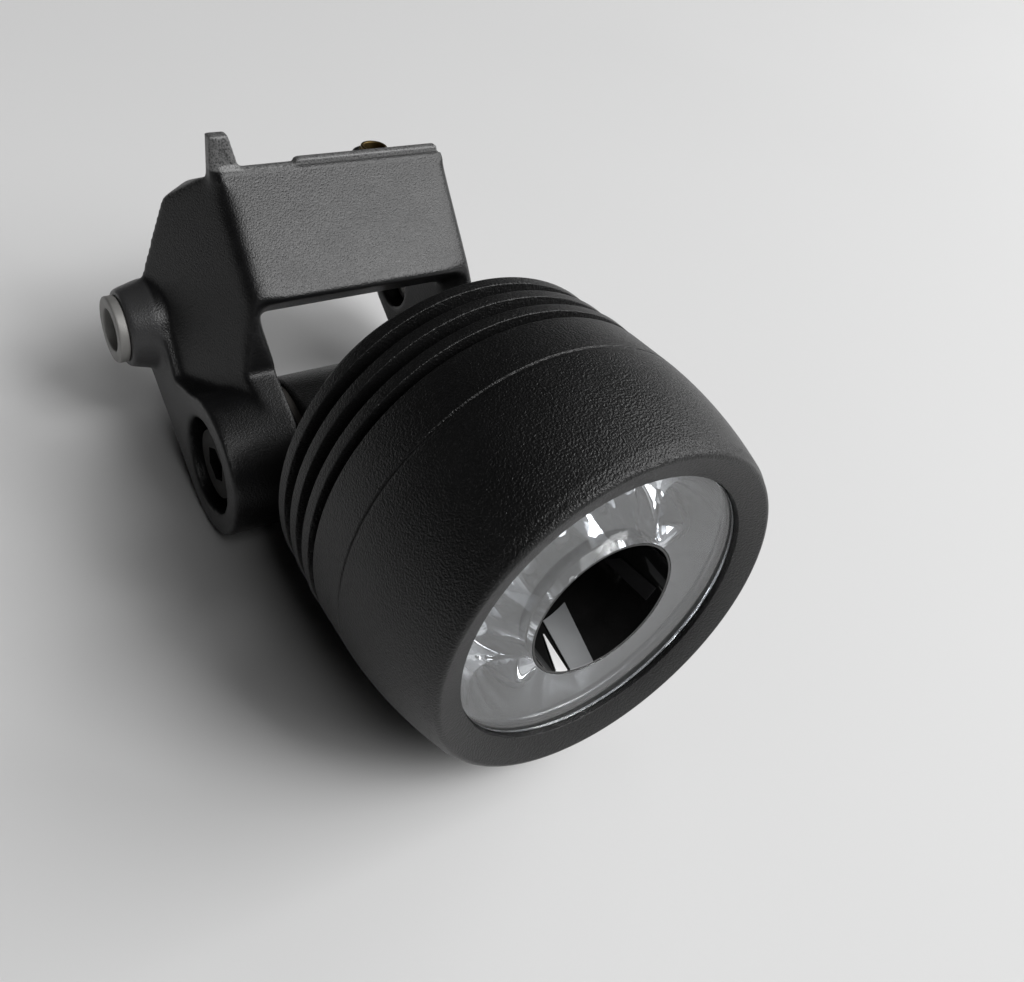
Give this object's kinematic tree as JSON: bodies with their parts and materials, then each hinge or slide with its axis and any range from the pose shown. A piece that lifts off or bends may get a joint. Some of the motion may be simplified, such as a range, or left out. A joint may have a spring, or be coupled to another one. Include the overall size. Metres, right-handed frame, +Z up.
{
  "type": "bicycle headlight",
  "caption": "Round finned bicycle headlight with a ring-shaped clear optic, on a forked bracket that tilts about a cross pivot and hangs from a cross bolt.",
  "frame": {"origin": "middle, between the fork's two flat sides, of the axis of the bolt that carries the bracket, which runs through both steel bushes", "axes": "+Z is up, the beam points along -Y, and +X runs across the bicycle along the cross bolt"},
  "size_m": [0.0488, 0.0728, 0.0463],
  "materials": {
    "body_black": "black anodised over a fine blasted grain",
    "clear_optic": "clear moulded optic plastic, polished",
    "core_black": "gloss black",
    "black_rubber": "matt black rubber",
    "black_polymer": "matt black moulding",
    "diode_yellow": "phosphor face of the diodes",
    "board_black": "black solder mask on an aluminium core",
    "plain_aluminium": "plain machined aluminium",
    "small_screw_steel": "zinc plated",
    "board_green": "green solder mask",
    "component_black": "moulded black component bodies",
    "pin_brass": "plated pins in a black bar",
    "sleeve_steel": "plain stainless steel",
    "friction_fibre": "dark fibre washer",
    "pivot_steel": "stainless steel",
    "bracket_polymer": "dark glass-filled plastic with a fine moulded grain",
    "bush_steel": "turned stainless steel",
    "insert_brass": "turned brass"
  },
  "bodies": {
    "bracket": {"fork_bracket": "bracket_polymer", "mount_bushes": "bush_steel", "brass_insert": "insert_brass", "pivot_screw": "pivot_steel", "pivot_nut": "pivot_steel", "pivot_washers": "sleeve_steel", "friction_rings": "friction_fibre"},
    "head": {"front_bezel": "body_black", "rear_housing": "body_black", "lens": "clear_optic", "lens_gasket": "black_rubber", "lens_retainer": "black_polymer", "core_tube": "core_black", "seam_seal": "black_rubber", "led_chips": "diode_yellow", "led_board": "board_black", "heat_spreader": "plain_aluminium", "board_screws": "small_screw_steel", "driver_board": "board_green", "driver_screws": "small_screw_steel", "driver_coil": "component_black", "driver_capacitors": "plain_aluminium", "driver_chips": "component_black", "link_pins": "pin_brass", "cable_gland": "black_rubber", "pivot_sleeve": "sleeve_steel"}
  },
  "joints": [
    {"name": "head_tilt", "type": "hinge", "parent": "bracket", "child": "head", "pos_m": [0, -0.0188, -0.0088], "axis": [-1, 0, 0], "range_deg": [-12, 35]}
  ]
}
